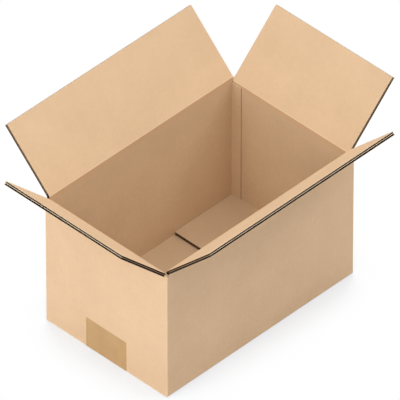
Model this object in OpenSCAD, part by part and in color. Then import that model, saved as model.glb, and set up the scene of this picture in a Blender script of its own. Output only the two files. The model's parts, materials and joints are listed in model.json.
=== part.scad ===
// Open corrugated box: a folded double-wall blank, four hinged top flaps and a tape along the bottom seam.
// Millimetres. X is the length, Y the width and Z up. The origin is the centre of the resting face.

/* [Box] */
// Outside length, along X
box_length = 355; // [250:1:600]
// Outside width, along Y
box_width = 227; // [160:1:400]
// Height of the end flaps' crease axis above the floor
crease_height = 208.5; // [120:0.5:400]
// Outside radius of the folded corners
fold_radius = 2; // [1:0.5:5]
// Gap between the outer bottom flaps, under the tape
seam_gap = 1; // [0.5:0.5:3]

/* [Board] */
// Thickness of the double-wall board
board = 5.2; // [4.4:0.1:7]
// Thickness of each of its three liners
liner = 0.35; // [0.2:0.05:0.5]
// Spacing of the flutes, fitted to a whole number across each panel
flute_pitch = 7; // [5.5:0.1:9]
// Fluted paper between two channels, measured along the panel
flute_web = 0.5; // [0.3:0.05:0.8]
// Length beside a crease where the flutes are crushed shut
crush = 3.5; // [3.5:0.5:12]

/* [Flaps] */
// Lean of the top flaps outward from upright
rest_angle = 45; // [10:1:90]
// Furthest lean outward that the wall tops leave room for
open_angle = 120; // [95:1:135]
// Slot between a flap's side and the wall it passes
slot_clearance = 0.4; // [0.3:0.1:2]
// Clearance between a crease and the wall under it
crease_gap = 0.2; // [0.1:0.05:0.5]
// Gap between the long flaps when they meet over the box
meeting_gap = 1; // [0.5:0.5:4]

/* [Glue tab] */
// Width of the glued strip inside the right end wall
tab_width = 17.2; // [10:0.2:40]
// Thickness of that strip, pressed thinner than the board
tab_thickness = 1.6; // [1:0.1:4]
// Distance from the strip's top to the wall's top
tab_drop = 0.5; // [0.5:0.5:10]

/* [Tape] */
// Width of the tape
tape_width = 75; // [48:1:100]
// Height that the tape reaches up each end wall
tape_rise = 50; // [30:1:100]
// Thickness of the tape
tape_thickness = 0.15; // [0.1:0.05:0.4]

/* [Hidden] */
$fn = 32;
kraft = "#D8B68C";
tape_tan = "#C39C63";
half_board = board / 2;
flute_height = (board - 3 * liner) / 2;
inner_length = box_length - 2 * board;
inner_width = box_width - 2 * board;
floor_z = tape_thickness;
// The long flaps close on top of the end flaps, so their crease is one board higher.
crease_step = board + crease_gap;
end_axis_z = crease_height;
long_axis_z = end_axis_z + crease_step;
end_axis_x = box_length / 2 - half_board;
long_axis_y = box_width / 2 - half_board;
// The long flaps meet over the middle. All top flaps end on one straight cut of the blank.
long_reach = long_axis_y - meeting_gap / 2;
end_reach = long_reach + crease_step;
bottom_reach = end_reach;
seat_drop = half_board + crease_gap;
end_span = inner_width - 2 * slot_clearance;
// The long flaps close between the end flaps where these are left leaning out.
lean_room = min(half_board, (seat_drop - half_board * sin(rest_angle)) * tan(rest_angle));
long_span = 2 * (end_axis_x - half_board * cos(rest_angle) + lean_room - slot_clearance);

module rounded_rect(length, width, radius) {
    square([length - 2 * radius, width], center = true);
    square([length, width - 2 * radius], center = true);
    for (x = [-1, 1])
        for (y = [-1, 1])
            translate([x * (length / 2 - radius), y * (width / 2 - radius)])
                circle(r = radius);
}

// Lays a section drawn in the YZ plane along X.
module along_x(span) {
    rotate([90, 0, 90])
        linear_extrude(span, center = true)
            children();
}

// Cut end of the board: two layers of flutes between three liners, opened at both sides by the cut.
module board_section(span) {
    count = round(span / flute_pitch);
    half_pitch = span / count / 2;
    base = half_pitch - flute_web;
    difference() {
        square([span, board], center = true);
        for (layer = [0, 1])
            for (i = [0 : 2 * count])
                translate([i * half_pitch - span / 2, (layer - 0.5) * (flute_height + liner)])
                    mirror([0, (i + layer) % 2])
                        polygon([
                            [-base, -flute_height / 2],
                            [base, -flute_height / 2],
                            [0, flute_height / 2],
                        ]);
    }
}

// Panel standing on the XY plane, with its flutes upright, open at the top and crushed shut at the bottom.
module fluted_panel(span, reach) {
    translate([-span / 2, -half_board, 0])
        cube([span, board, crush]);
    translate([0, 0, crush])
        linear_extrude(reach - crush)
            board_section(span);
}

// Upright flap with its crease along X through the origin. Its root is rolled about the crease.
module flap(span, reach) {
    along_x(span) {
        circle(d = board);
        translate([-half_board, 0])
            square([board, crush]);
    }
    fluted_panel(span, reach);
}

// Flap leaning out of the wall that faces -Y when turn is 0.
module hung_flap(turn, axis_offset, axis_z, span, reach) {
    rotate(turn)
        translate([0, -axis_offset, axis_z])
            rotate([rest_angle, 0, 0])
                flap(span, reach);
}

// Room above a wall for its crease: flat under the closed flap and sloped under the folded-back one.
module crease_seat(turn, axis_offset, axis_z, span) {
    past = board;
    slope_start = seat_drop * tan((open_angle - 90) / 2);
    slope_end = (past * cos(open_angle) - seat_drop) / sin(open_angle);
    rotate(turn)
        translate([0, -axis_offset, axis_z])
            along_x(span)
                polygon([
                    [past, -seat_drop],
                    [slope_start, -seat_drop],
                    [-past, slope_end],
                    [-past, 2 * board],
                    [past, 2 * board],
                ]);
}

// Four walls and the two outer bottom flaps, folded from one sheet.
module shell() {
    difference() {
        intersection() {
            linear_extrude(long_axis_z)
                rounded_rect(box_length, box_width, fold_radius);
            along_x(box_length)
                translate([0, floor_z + long_axis_z])
                    rounded_rect(box_width, 2 * long_axis_z, fold_radius);
        }
        translate([0, 0, floor_z + board])
            linear_extrude(long_axis_z)
                square([inner_length, inner_width], center = true);
        translate([-inner_length / 2, -seam_gap / 2, 0])
            cube([inner_length, seam_gap, floor_z + 2 * board]);
        for (turn = [0, 180])
            crease_seat(turn, long_axis_y, long_axis_z, box_length + board);
        for (turn = [90, -90])
            crease_seat(turn, end_axis_x, end_axis_z, inner_width);
    }
}

// Inner bottom flap, folded in from the end wall that faces +X when turn is 0.
module inner_bottom_flap(turn) {
    rotate(turn)
        translate([inner_length / 2, 0, floor_z + board + half_board])
            rotate([90, 0, -90])
                fluted_panel(end_span, bottom_reach - board);
}

// Glued strip that closes the blank, inside the right end wall at the back corner.
module glue_tab() {
    tab_foot = floor_z + board;
    tab_top = end_axis_z - seat_drop - tab_drop;
    translate([inner_length / 2 - tab_thickness, inner_width / 2 - tab_width, tab_foot])
        cube([tab_thickness, tab_width, tab_top - tab_foot]);
}

module box_body() {
    color(kraft) {
        union() {
            shell();
            inner_bottom_flap(0);
            inner_bottom_flap(180);
            glue_tab();
        }
    }
}

module front_flap() {
    color(kraft)
        hung_flap(0, long_axis_y, long_axis_z, long_span, long_reach);
}

module back_flap() {
    color(kraft)
        hung_flap(180, long_axis_y, long_axis_z, long_span, long_reach);
}

module left_flap() {
    color(kraft)
        hung_flap(-90, end_axis_x, end_axis_z, end_span, end_reach);
}

module right_flap() {
    color(kraft)
        hung_flap(90, end_axis_x, end_axis_z, end_span, end_reach);
}

// One strip along the bottom seam, turned up both end walls.
module seam_tape() {
    color(tape_tan)
        difference() {
            translate([-box_length / 2 - tape_thickness, -tape_width / 2, 0])
                cube([box_length + 2 * tape_thickness, tape_width, tape_rise]);
            translate([-box_length / 2, -tape_width, floor_z])
                cube([box_length, 2 * tape_width, 2 * tape_rise]);
        }
}

box_body();
front_flap();
back_flap();
left_flap();
right_flap();
seam_tape();
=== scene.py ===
import json

import bpy
import numpy as np
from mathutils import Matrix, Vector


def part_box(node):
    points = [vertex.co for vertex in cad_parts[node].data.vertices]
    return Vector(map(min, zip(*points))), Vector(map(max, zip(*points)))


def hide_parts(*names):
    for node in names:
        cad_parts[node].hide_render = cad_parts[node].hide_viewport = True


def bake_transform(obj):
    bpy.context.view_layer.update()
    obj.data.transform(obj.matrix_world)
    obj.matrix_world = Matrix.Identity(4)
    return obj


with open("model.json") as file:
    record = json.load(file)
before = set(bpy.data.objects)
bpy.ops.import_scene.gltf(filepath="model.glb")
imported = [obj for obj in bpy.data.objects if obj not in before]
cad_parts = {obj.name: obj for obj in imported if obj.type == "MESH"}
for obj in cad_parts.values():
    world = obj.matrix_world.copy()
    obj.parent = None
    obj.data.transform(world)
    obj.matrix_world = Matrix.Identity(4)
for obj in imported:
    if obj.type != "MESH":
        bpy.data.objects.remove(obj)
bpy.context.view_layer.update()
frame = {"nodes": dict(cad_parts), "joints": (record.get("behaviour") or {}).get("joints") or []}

# Folded blank
# The walls, the glue tab and the bottom flaps are one sheet of double-wall corrugated board, creased
# flat and folded up square. Its brown liner shows cloudy pulp, short fibres and faint flutes, and is
# paler along the folds, partly from rubbed wear and partly as a painted highlight.
board = 0.0052
liner = 0.00035
flute_pitch = 0.007
tab_thickness = 0.0016
tab_width = 0.0172
inner_flap_edge = 0.0617
hair = 0.0001
kraft_tone = (0.70, 0.495, 0.311, 1.0)
inside_tone = (0.69, 0.508, 0.333, 1.0)
wear_and_highlight_tone = (0.86, 0.66, 0.45, 1.0)
flute_shadow = (0.05, 0.032, 0.022, 1.0)
tab_shadow = (0.56, 0.52, 0.46, 1.0)
body_low, body_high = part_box("box_body")


def node(tree, kind, inputs, **options):
    """Adds a shader node, sets its options, and fills each named or numbered input with a value or a link.

    Returns the node's outputs.
    """
    made = tree.nodes.new("ShaderNode" + kind)
    for option, value in options.items():
        setattr(made, option, value)
    for key, value in inputs.items():
        if isinstance(value, bpy.types.NodeSocket):
            tree.links.new(value, made.inputs[key])
        else:
            made.inputs[key].default_value = value
    return made.outputs


def math(tree, operation, a, b=0.0, c=0.0):
    """One number from up to three numbers, each a value or a link."""
    return node(tree, "Math", {0: a, 1: b, 2: c}, operation=operation)[0]


def ramp(tree, value, start, end, low=0.0, high=1.0):
    """A smooth step from low at start to high at end."""
    inputs = {"Value": value, "From Min": start, "From Max": end, "To Min": low, "To Max": high}
    return node(tree, "MapRange", inputs, interpolation_type="SMOOTHSTEP")[0]


def mix(tree, amount, color, other, **options):
    """A colour moved towards another colour, as far as the amount says."""
    return node(tree, "Mix", {0: amount, 6: color, 7: other}, data_type="RGBA", **options)[2]


def tint(tree, color, by, amount):
    """A colour multiplied by another colour, as far as the amount says."""
    return mix(tree, amount, color, by, blend_type="MULTIPLY")


def noise(tree, place, scale, detail, roughness=0.5):
    """Cloudy noise around 0.5, finer where the scale and the detail are larger."""
    inputs = {"Vector": place, "Scale": scale, "Detail": detail, "Roughness": roughness}
    return node(tree, "TexNoise", inputs)[0]


def fibres(tree, place, turn, scale):
    """Short straight fibres: noise drawn out along one turned direction, of which only the peaks are kept."""
    drawn_out = node(tree, "Mapping", {"Vector": place, "Rotation": turn, "Scale": scale})[0]
    return ramp(tree, noise(tree, drawn_out, 1.0, 1.0), 0.62, 0.74)


def effect(name, takes, gives):
    """A shader node group with named inputs and outputs. Returns its tree, its inputs and its results."""
    tree = bpy.data.node_groups.new(name, "ShaderNodeTree")
    for socket, kind in takes.items():
        tree.interface.new_socket(socket, in_out="INPUT", socket_type="NodeSocket" + kind)
    for socket, kind in gives.items():
        tree.interface.new_socket(socket, in_out="OUTPUT", socket_type="NodeSocket" + kind)
    return tree, tree.nodes.new("NodeGroupInput").outputs, tree.nodes.new("NodeGroupOutput").inputs


def blank_material(name):
    """A new material with no nodes. Returns it with its tree."""
    made = bpy.data.materials.new(name)
    made.use_nodes = True
    made.node_tree.nodes.clear()
    return made, made.node_tree


def paper_surface(tree, look, sheet):
    """Ends a material of paper: its look as the colour, with the sheet's fine relief and dull sheen."""
    grain = node(tree, "Bump", {"Height": sheet["Height"], "Strength": 0.25, "Distance": 0.0002})[0]
    inputs = {"Base Color": look, "Roughness": sheet["Roughness"], "Specular IOR Level": 0.2, "Normal": grain}
    surface = node(tree, "BsdfPrincipled", inputs)[0]
    node(tree, "OutputMaterial", {"Surface": surface})


kraft, given, result = effect(
    "kraft paper",
    {"Place": "Vector", "Across": "Float", "Tone": "Color"},
    {"Color": "Color", "Height": "Float", "Roughness": "Float"},
)
cloud = noise(kraft, given["Place"], 17.0, 4.0, 0.6)
mottle = noise(kraft, given["Place"], 150.0, 3.0)
pulp = noise(kraft, given["Place"], 800.0, 2.0)
dark_fibre = fibres(kraft, given["Place"], (0.5, 0.9, 0.3), (1900.0, 210.0, 210.0))
pale_fibre = fibres(kraft, given["Place"], (1.4, -0.6, 1.9), (230.0, 1700.0, 230.0))
flutes = math(kraft, "SINE", math(kraft, "MULTIPLY", given["Across"], 2.0 * np.pi / flute_pitch))
shade = math(kraft, "MULTIPLY_ADD", mottle, 0.35, math(kraft, "MULTIPLY", pulp, 0.5))
shade = math(kraft, "MULTIPLY_ADD", cloud, 0.9, shade)
shade = math(kraft, "MULTIPLY_ADD", flutes, 0.015, shade)
paper = mix(kraft, ramp(kraft, shade, 0.45, 1.3), (0.90, 0.885, 0.865, 1.0), (1.0, 1.0, 1.0, 1.0))
paper = tint(kraft, given["Tone"], paper, 1.0)
paper = tint(kraft, paper, (0.72, 0.66, 0.58, 1.0), math(kraft, "MULTIPLY", dark_fibre, 0.16))
paper = mix(kraft, math(kraft, "MULTIPLY", pale_fibre, 0.1), paper, (0.9, 0.76, 0.58, 1.0))
kraft.links.new(paper, result["Color"])
relief = math(kraft, "MULTIPLY_ADD", pale_fibre, 0.2, math(kraft, "MULTIPLY", flutes, 0.12))
relief = math(kraft, "MULTIPLY_ADD", pulp, 0.5, relief)
kraft.links.new(relief, result["Height"])
kraft.links.new(math(kraft, "MULTIPLY_ADD", mottle, 0.12, 0.8), result["Roughness"])

# The sheet, with its flutes upright on every wall and a slightly greyer inner face.
board_look, tree = blank_material("kraft_board_look")
spot = node(tree, "TexCoord", {})
place = node(tree, "SeparateXYZ", {0: spot["Object"]})
facing = node(tree, "SeparateXYZ", {0: spot["Normal"]})
long_side = math(tree, "GREATER_THAN", math(tree, "ABSOLUTE", facing["Y"]), 0.7)
across = node(tree, "Mix", {0: long_side, 2: place["Y"], 3: place["X"]}, data_type="FLOAT")[0]
from_end = math(tree, "SUBTRACT", body_high.x, math(tree, "ABSOLUTE", place["X"]))
from_side = math(tree, "SUBTRACT", body_high.y, math(tree, "ABSOLUTE", place["Y"]))
from_floor = math(tree, "SUBTRACT", place["Z"], body_low.z)
from_walls = math(tree, "MINIMUM", from_end, from_side)
within_box = ramp(tree, from_walls, board - 6 * hair, board - 2 * hair)
tone = mix(tree, within_box, kraft_tone, inside_tone)
sheet = node(tree, "Group", {"Place": spot["Object"], "Across": across, "Tone": tone}, node_tree=kraft)

# The folds at the upright corners and around the bottom, paler: partly rubbed wear, partly a painted
# highlight.
corner = math(tree, "MAXIMUM", from_end, from_side)
bottom = math(tree, "MAXIMUM", from_walls, from_floor)
fold_wear_and_highlight = ramp(tree, math(tree, "MINIMUM", corner, bottom), 5 * hair, 20 * hair, 0.3, 0.0)
look = mix(tree, fold_wear_and_highlight, sheet["Color"], wear_and_highlight_tone)

# The open flutes in the free edges of the inner bottom flaps, with painted shade inside them, lighter at the
# cut.
low_liner = body_low.z + board
high_liner = body_low.z + 2 * board - liner
over_low = ramp(tree, place["Z"], low_liner + hair, low_liner + 2 * hair)
under_high = ramp(tree, place["Z"], high_liner, high_liner + hair, 1.0, 0.0)
between_liners = math(tree, "MULTIPLY", over_low, under_high)
clear_of_walls = ramp(tree, from_walls, board + 3 * hair, board + 6 * hair)
in_flutes = math(tree, "MULTIPLY", between_liners, clear_of_walls)
depth = math(tree, "SUBTRACT", math(tree, "ABSOLUTE", place["X"]), inner_flap_edge)
at_cut = ramp(tree, depth, -2 * hair, -hair, 0.0, 0.75)
shut_in = math(tree, "MULTIPLY_ADD", ramp(tree, depth, 0.0, 5 * hair), 0.25, at_cut)
look = tint(tree, look, flute_shadow, math(tree, "MULTIPLY", in_flutes, shut_in))

# The cut edge of the glue tab, with painted shade between its liner and the wall.
tab_face = body_high.x - board - tab_thickness
tab_edge = body_high.y - board - tab_width
tab_core = tab_face + 0.00095
half_core = 0.0006
on_edge = math(tree, "COMPARE", place["Y"], tab_edge, hair)
behind_liner = math(tree, "COMPARE", place["X"], tab_core, half_core)
look = tint(tree, look, tab_shadow, math(tree, "MULTIPLY", on_edge, behind_liner))
paper_surface(tree, look, sheet)
frame["nodes"]["box_body"].data.materials.clear()
frame["nodes"]["box_body"].data.materials.append(board_look)

# Top flaps
# Each flap is the same board as its wall and turns on a crease pressed into it. The board is five papers
# glued together: three flat liners with two fluted papers between them. The knife leaves the flutes open
# at the free edge and the sides, and the creasing rule crushes them at the fold.
half_board = board / 2
fluting = 0.00025
middle_liner = 0.0005
middle_rise = 0.0002
flute_height = half_board - liner - middle_liner / 2
last_flute = 0.0012
proud = 0.00003
crushed = 0.0035
crushed_depth = 0.001
crease_bend = 0.0009
liner_below = 0.009
crushed_below = 0.003
sharp_angle = 0.6
sheet_shift = 0.61
cut_paper_tone = (0.90, 0.72, 0.52, 1.0)
side_cut_shade = (0.6, 0.55, 0.5, 1.0)
fluting_tone_and_shade = (0.07, 0.055, 0.045, 1.0)
shut_in_shade = (0.015, 0.012, 0.01, 1.0)


def fold_line(offset, below, reach, lean, soft):
    """Section of one paper across a crease, as distances along it and points (outward, up) from the axis.

    It climbs the wall at a fixed offset from the middle of the board, inside where the offset is positive,
    turns through the lean on a short parabola, and follows the leaning flap to its free edge.
    """
    miter = offset * np.tan(lean / 2)
    wall = np.linspace(-below - miter, -soft, 5)
    turn = np.linspace(-soft, soft, 9)
    flap = np.linspace(soft, reach + miter, 24)
    along = np.concatenate([wall, turn[1:-1], flap])
    part = np.clip((along + soft) / (2 * soft), 0, 1)
    on_wall = np.minimum(along, -soft * (1 - part) ** 2)
    on_flap = np.maximum(along, soft * part**2)
    on_wall = np.where(along > soft, 0, on_wall)
    on_flap = np.where(along < -soft, 0, on_flap)
    outward = -offset + on_flap * np.sin(lean)
    up = miter + on_wall + on_flap * np.cos(lean)
    return along, np.stack([outward, up], 1)


def sheet_grid(across, along, through):
    """Grid of places on the flat board: across it, along it from the crease, and through its thickness."""
    return np.stack(np.broadcast_arrays(across, along, through), -1)


def slab(upper, lower):
    """Closed sheet between two grids of points: both faces, then the narrow edge around them."""
    rows, columns = upper.shape[:2]
    grid = np.arange(rows * columns).reshape(rows, columns)
    face = np.stack([grid[:-1, :-1], grid[:-1, 1:], grid[1:, 1:], grid[1:, :-1]], -1).reshape(-1, 4)
    rim = np.concatenate([grid[:-1, 0], grid[-1, :-1], grid[:0:-1, -1], grid[0, :0:-1]])
    after = np.roll(rim, -1)
    side = np.stack([rim, after, after + grid.size, rim + grid.size], 1)
    faces = np.concatenate([face, face[:, ::-1] + grid.size, side])
    return np.concatenate([upper.reshape(-1, upper.shape[2]), lower.reshape(-1, lower.shape[2])]), faces


def set_attribute(mesh, name, domain, values):
    """Stores one number, or one vector, for each point or face of a mesh."""
    kind, field = ("FLOAT", "value") if values.ndim == 1 else ("FLOAT_VECTOR", "vector")
    data = mesh.attributes.new(name, kind, domain).data
    data.foreach_set(field, values.astype(np.float32).ravel())


flap_look, tree = blank_material("kraft_flap_look")
sheet_place = node(tree, "Attribute", {}, attribute_name="sheet_place")["Vector"]
cut_depth = node(tree, "Attribute", {}, attribute_name="cut_depth")["Fac"]
fluted = node(tree, "Attribute", {}, attribute_name="fluted")["Fac"]
free_end = node(tree, "Attribute", {}, attribute_name="free_end")["Fac"]
side_cut = node(tree, "Attribute", {}, attribute_name="side_cut")["Fac"]
place = node(tree, "SeparateXYZ", {0: sheet_place})
inputs = {"Place": sheet_place, "Across": place["X"], "Tone": kraft_tone}
sheet = node(tree, "Group", inputs, node_tree=kraft)
# Paler along the crease: partly rubbed wear, partly a painted highlight.
crease = ramp(tree, math(tree, "ABSOLUTE", place["Y"]), 3 * hair, 13 * hair, 0.7, 0.0)
look = mix(tree, crease, sheet["Color"], wear_and_highlight_tone)
from_middle = math(tree, "ABSOLUTE", place["Z"])
inside = ramp(tree, from_middle, half_board - liner, half_board - 0.5 * liner, 1.0, 0.0)
look = mix(tree, math(tree, "MULTIPLY", free_end, inside), look, cut_paper_tone)
# Painted shade on the cut faces at the flap's sides.
look = tint(tree, look, side_cut_shade, side_cut)
# The fluted papers near black: partly a darker fluting paper, partly painted shade.
look = tint(tree, look, fluting_tone_and_shade, fluted)
# Painted shade deep inside the board, away from its cut faces, and in the crushed core.
shut_in = math(tree, "MULTIPLY", inside, ramp(tree, cut_depth, 0.3 * hair, 3 * hair))
look = tint(tree, look, shut_in_shade, shut_in)
paper_surface(tree, look, sheet)

for number, joint in enumerate(frame["joints"]):
    flap_name = joint["child"]
    axis_point = np.array(joint["pos_m"])
    axis = np.array(joint["axis"], float)
    up = np.array([0.0, 0.0, 1.0])
    outward = np.cross(axis, up)
    lean = np.radians(-joint["range_deg"][0] - 90)
    low, high = [np.array(corner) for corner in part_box(flap_name)]
    half_span = np.abs((high - low) @ axis) / 2
    reach = (high[2] - axis_point[2] - half_board * np.sin(lean)) / np.cos(lean)
    along_flap = np.sin(lean) * outward + np.cos(lean) * up
    inward = -np.cos(lean) * outward + np.sin(lean) * up
    flap_axes = np.stack([axis, along_flap, inward])
    papers = []

    # Two face liners, which run over the crease onto the wall, and the crushed core between them.
    stations = np.linspace(-half_span, half_span, 41)[:, None]
    for inner, outer, below, end in [
        (half_board + proud, half_board - liner, liner_below, reach),
        (-half_board + liner, -half_board - proud, liner_below, reach),
        (half_board - liner - proud, -half_board + liner + proud, crushed_below, crushed + proud),
    ]:
        sides = []
        for offset in (inner, outer):
            along, section = fold_line(offset, below, end, lean, crease_bend)
            flat = sheet_grid(stations, along, offset)
            spots = axis_point + flat[..., :1] * axis + section[:, :1] * outward + section[:, 1:] * up
            sides.append(np.concatenate([spots, flat], 2))
        papers.append(slab(*sides))

    # The middle liner and the two fluted papers, which are waves along the crease.
    flute_count = round(2 * half_span / flute_pitch)
    inner_flute, outer_flute = flute_height - middle_rise, flute_height + middle_rise
    inner_level = half_board - liner - inner_flute / 2
    outer_level = liner - half_board + outer_flute / 2
    rows = np.linspace(crushed, reach, 12)
    for level, swing, thick, steps in [
        (middle_rise, 0.0, middle_liner, 40),
        (inner_level, 0.5 * (inner_flute - fluting) + proud, fluting, 16 * flute_count),
        (outer_level, -0.5 * (outer_flute - fluting) - proud, fluting, 16 * flute_count),
    ]:
        across = np.linspace(-half_span, half_span, steps + 1)[:, None]
        wave = level + swing * np.cos(np.pi * flute_count * (across / half_span + 1))
        sides = []
        for offset in (wave + thick / 2, wave - thick / 2):
            flat = sheet_grid(across, rows, offset)
            sides.append(np.concatenate([axis_point + flat @ flap_axes, flat], 2))
        papers.append(slab(*sides))

    # The last flute inside each side, which the knife leaves standing as a wall.
    heights = np.array([half_board - liner, 0.0, liner - half_board])
    for wall_at in (last_flute - half_span, half_span - last_flute):
        sides = []
        for across in (wall_at - fluting / 2, wall_at + fluting / 2):
            flat = sheet_grid(across, rows[:, None], heights)
            sides.append(np.concatenate([axis_point + flat @ flap_axes, flat], 2))
        papers.append(slab(*sides))

    # The board: its papers in one mesh, with marks for the crushed core, the flutes and the cut faces.
    counts = [len(points) for points, faces in papers]
    starts = np.cumsum([0] + counts[:-1])
    points = np.concatenate([points for points, faces in papers])
    faces = np.concatenate([faces + start for (_, faces), start in zip(papers, starts)])
    in_core = np.repeat([0, 0, 1, 0, 0, 0, 0, 0], counts)
    in_flutes = np.repeat([0, 0, 0, 0, 1, 1, 1, 1], counts)
    spots, flat = points[:, :3], points[:, 3:]
    from_side = half_span - np.abs(flat[:, 0])
    depth = np.where(in_core, crushed_depth, np.minimum(reach - flat[:, 1], from_side))
    mesh = bpy.data.meshes.new(flap_name + "_board")
    mesh.from_pydata(spots, [], faces.tolist())
    mesh.polygons.foreach_set("use_smooth", np.ones(len(faces), bool))
    mesh.set_sharp_from_angle(angle=sharp_angle)
    set_attribute(mesh, "fluted", "POINT", in_flutes)
    set_attribute(mesh, "free_end", "FACE", (flat[faces, 1] > reach - liner).all(1))
    set_attribute(mesh, "side_cut", "FACE", (from_side[faces] < liner).all(1))
    set_attribute(mesh, "cut_depth", "POINT", depth)
    set_attribute(mesh, "sheet_place", "POINT", flat + (sheet_shift * number, 0.0, 0.0))
    mesh.materials.append(flap_look)
    flap = bpy.data.objects.new(flap_name + "_board", mesh)
    bpy.context.scene.collection.objects.link(flap)
    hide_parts(flap_name)
    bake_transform(flap)

# Bottom tape
# One strip of brown packing tape, a plastic film with glue on its back, is pressed along the bottom seam
# and up both ends. The film has faint streaks along its length and a low sheen.
film_dark = (0.468, 0.287, 0.123, 1.0)
film_pale = (0.49, 0.303, 0.132, 1.0)
film_patch = (0.93, 0.92, 0.9, 1.0)
tape_look, tree = blank_material("packing_tape_look")
spot = node(tree, "TexCoord", {})["Object"]
drawn_out = node(tree, "Mapping", {"Vector": spot, "Scale": (9.0, 420.0, 9.0)})[0]
streak = noise(tree, drawn_out, 1.0, 3.0)
patch = noise(tree, spot, 45.0, 3.0)
film = mix(tree, ramp(tree, streak, 0.3, 0.7), film_dark, film_pale)
film = tint(tree, film, film_patch, ramp(tree, patch, 0.35, 0.7))
ripple = math(tree, "ADD", streak, patch)
wrinkle = node(tree, "Bump", {"Height": ripple, "Strength": 0.15, "Distance": 0.0003})[0]
sheen = math(tree, "MULTIPLY_ADD", patch, 0.15, 0.38)
inputs = {"Base Color": film, "Roughness": sheen, "Specular IOR Level": 0.3, "Normal": wrinkle}
surface = node(tree, "BsdfPrincipled", inputs)[0]
node(tree, "OutputMaterial", {"Surface": surface})
frame["nodes"]["seam_tape"].data.materials.clear()
frame["nodes"]["seam_tape"].data.materials.append(tape_look)

# Floor
# A plain white studio floor. The viewer sees the soft shadow round the foot of the box and white beyond it.
# The box itself gets the light that a matt, faintly blue white floor throws back.
floor_half = 3.0
floor_level = -0.0002
shadow_reach = 0.07
floor_seen = (0.80, 0.865, 0.94, 1.0)
floor_thrown = (0.87, 0.88, 0.92, 1.0)
white = (1.0, 1.0, 1.0, 1.0)


def seen_by_viewer(tree):
    """1 for what is seen straight, mirrored or through glass, and 0 for what only throws light back."""
    ray = node(tree, "LightPath", {})
    mirrored = math(tree, "MAXIMUM", ray["Is Glossy Ray"], ray["Is Transmission Ray"])
    return math(tree, "MAXIMUM", ray["Is Camera Ray"], mirrored)


floor_look, tree = blank_material("studio_floor")
near_box = node(tree, "AmbientOcclusion", {"Distance": shadow_reach}, samples=16)["AO"]
matte = node(tree, "BsdfDiffuse", {"Color": floor_seen})[0]
glow = node(tree, "Emission", {"Color": white, "Strength": 1.0})[0]
bounce = node(tree, "BsdfDiffuse", {"Color": floor_thrown})[0]
whiteness = ramp(tree, near_box, 0.4, 1.0, 0.4, 1.0)
shown = node(tree, "MixShader", {0: whiteness, 1: matte, 2: glow})[0]
surface = node(tree, "MixShader", {0: seen_by_viewer(tree), 1: bounce, 2: shown})[0]
node(tree, "OutputMaterial", {"Surface": surface})
floor_corners = [
    (-floor_half, -floor_half, floor_level),
    (floor_half, -floor_half, floor_level),
    (floor_half, floor_half, floor_level),
    (-floor_half, floor_half, floor_level),
]
floor_mesh = bpy.data.meshes.new("studio_floor")
floor_mesh.from_pydata(floor_corners, [], [(0, 1, 2, 3)])
floor_mesh.materials.append(floor_look)
floor = bpy.data.objects.new("studio_floor", floor_mesh)
bpy.context.scene.collection.objects.link(floor)

# Light
# A white dome and wide soft lamps: high ones around the box that reach into it and onto the flaps, and two
# low ones, of which the stronger makes the left end the brightest side. One small lamp at the right throws
# the soft slanting shadow inside the back wall.
lamp_aim = 0.12
world = bpy.data.worlds.new("studio")
world.use_nodes = True
tree = world.node_tree
tree.nodes.clear()
dome = node(tree, "Background", {"Color": white, "Strength": 0.14})[0]
backdrop = node(tree, "Background", {"Color": white, "Strength": 1.0})[0]
surface = node(tree, "MixShader", {0: seen_by_viewer(tree), 1: dome, 2: backdrop})[0]
node(tree, "OutputWorld", {"Surface": surface})
bpy.context.scene.world = world
for lamp_name, azimuth, elevation, distance, width, height, watts in [
    ("low_left_lamp", -90, 8, 1.8, 1.4, 0.7, 10.7),
    ("high_left_lamp", -100, 45, 2.2, 1.4, 1.4, 18.8),
    ("camera_lamp", -45, 45, 2.2, 1.4, 1.4, 13.1),
    ("high_right_lamp", 30, 55, 2.2, 1.4, 1.4, 13.6),
    ("low_right_lamp", 45, 15, 1.2, 0.8, 0.8, 1.1),
    ("small_right_lamp", 58, 44, 2.2, 0.4, 0.4, 5.0),
    ("back_lamp", 135, 50, 2.2, 1.4, 1.4, 28.8),
]:
    around, above = np.radians(azimuth), np.radians(elevation)
    lamp_data = bpy.data.lights.new(lamp_name, "AREA")
    lamp_data.shape = "RECTANGLE"
    lamp_data.size = width
    lamp_data.size_y = height
    lamp_data.energy = watts
    lamp = bpy.data.objects.new(lamp_name, lamp_data)
    lamp.location = (
        distance * np.sin(around) * np.cos(above),
        -distance * np.cos(around) * np.cos(above),
        lamp_aim + distance * np.sin(above),
    )
    lamp.rotation_euler = (np.pi / 2 - above, 0.0, around)
    bpy.context.scene.collection.objects.link(lamp)

# Camera
# A long lens far from the box, so that its parallel edges stay parallel as in the photograph. It looks down
# on the front left corner, and is aimed above the middle of the walls to take in the flaps.
around, above = np.radians(-45.545), np.radians(40.469)
view_distance = 20.0
wall_middle = np.array([0.0, 0.0, 0.106])
shift_up = 0.04746
shift_right = 0.00006
back = np.array([
    np.sin(around) * np.cos(above),
    -np.cos(around) * np.cos(above),
    np.sin(above),
])
right = np.array([np.cos(around), np.sin(around), 0.0])
aim = wall_middle + shift_up * np.cross(back, right) + shift_right * right
camera_data = bpy.data.cameras.new("camera")
camera_data.sensor_width = 36.0
camera_data.lens = 1353.0
camera_data.clip_start = 1.0
camera_data.clip_end = 60.0
camera = bpy.data.objects.new("camera", camera_data)
camera.location = aim + view_distance * back
camera.rotation_euler = (np.pi / 2 - above, 0.0, around)
bpy.context.scene.collection.objects.link(camera)
bpy.context.scene.camera = camera
bpy.context.scene.view_settings.view_transform = "Standard"
